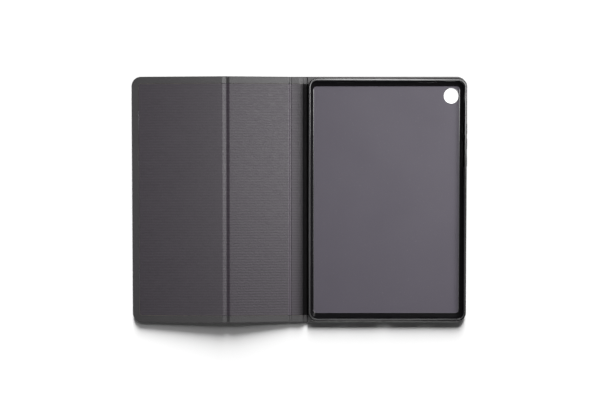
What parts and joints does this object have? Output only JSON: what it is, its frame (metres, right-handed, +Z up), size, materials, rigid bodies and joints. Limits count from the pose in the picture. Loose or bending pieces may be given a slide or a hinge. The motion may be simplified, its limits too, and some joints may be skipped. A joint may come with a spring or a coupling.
{
  "type": "tablet folio case",
  "caption": "Open folio case for a tablet: a flexible tray with camera window and button covers on a hinged, board-stiffened wrap-round cover with a stand fold.",
  "frame": {"origin": "middle of the open case, at the level of its outer face, on which it lies", "axes": "+X from the free edge of the cover towards the tray, +Y towards the camera window's end, +Z up, out of the tray"},
  "size_m": [0.3465, 0.255, 0.0132],
  "materials": {
    "outer_skin": "grained matt imitation leather, near black",
    "lining": "fine ribbed lining, dark grey",
    "board": "plain stiff board",
    "tray": "flexible black plastic, glossy walls and a frosted floor",
    "adhesive": "thin double-sided sheet",
    "magnet": "plated magnet"
  },
  "bodies": {
    "back": {"back_skin": "outer_skin", "back_board": "board", "back_lining": "lining", "tray_adhesive": "adhesive", "tray_shell": "tray", "back_fold_skin": "outer_skin", "back_fold_lining": "lining"},
    "spine": {"spine_skin": "outer_skin", "spine_board": "board", "spine_lining": "lining", "front_fold_skin": "outer_skin", "front_fold_lining": "lining"},
    "inner_panel": {"inner_panel_skin": "outer_skin", "inner_panel_board": "board", "inner_panel_lining": "lining", "cover_fold_skin": "outer_skin", "cover_fold_lining": "lining"},
    "outer_panel": {"outer_panel_skin": "outer_skin", "outer_panel_board": "board", "outer_panel_lining": "lining", "closing_magnet_upper": "magnet", "closing_magnet_lower": "magnet", "sleep_magnet": "magnet"},
    "power_button": {"power_button_cover": "tray"},
    "volume_button": {"volume_button_cover": "tray"}
  },
  "joints": [
    {"name": "back_fold", "type": "hinge", "parent": "back", "child": "spine", "pos_m": [0.00653, 0, 0.0002], "axis": [0, 1, 0], "range_deg": [-165, 90], "deforming": ["back_fold_skin", "back_fold_lining"]},
    {"name": "front_fold", "type": "hinge", "parent": "spine", "child": "inner_panel", "pos_m": [-0.00937, 0, 0.0012], "axis": [0, 1, 0], "range_deg": [-13, 87], "deforming": ["front_fold_skin", "front_fold_lining"]},
    {"name": "cover_fold", "type": "hinge", "parent": "inner_panel", "child": "outer_panel", "pos_m": [-0.07528, 0, 0.00465], "axis": [0, -1, 0], "range_deg": [-150, 140], "deforming": ["cover_fold_skin", "cover_fold_lining"]},
    {"name": "power_press", "type": "slide", "parent": "back", "child": "power_button", "axis": [-1, 0, 0], "range_m": [0, 0.0005], "stiffness_N_per_m": 3000},
    {"name": "volume_rock", "type": "hinge", "parent": "back", "child": "volume_button", "pos_m": [0.17112, 0.0489, 0.00795], "axis": [0, 0, 1], "range_deg": [-2, 2], "stiffness_Nm_per_rad": 0.8}
  ]
}
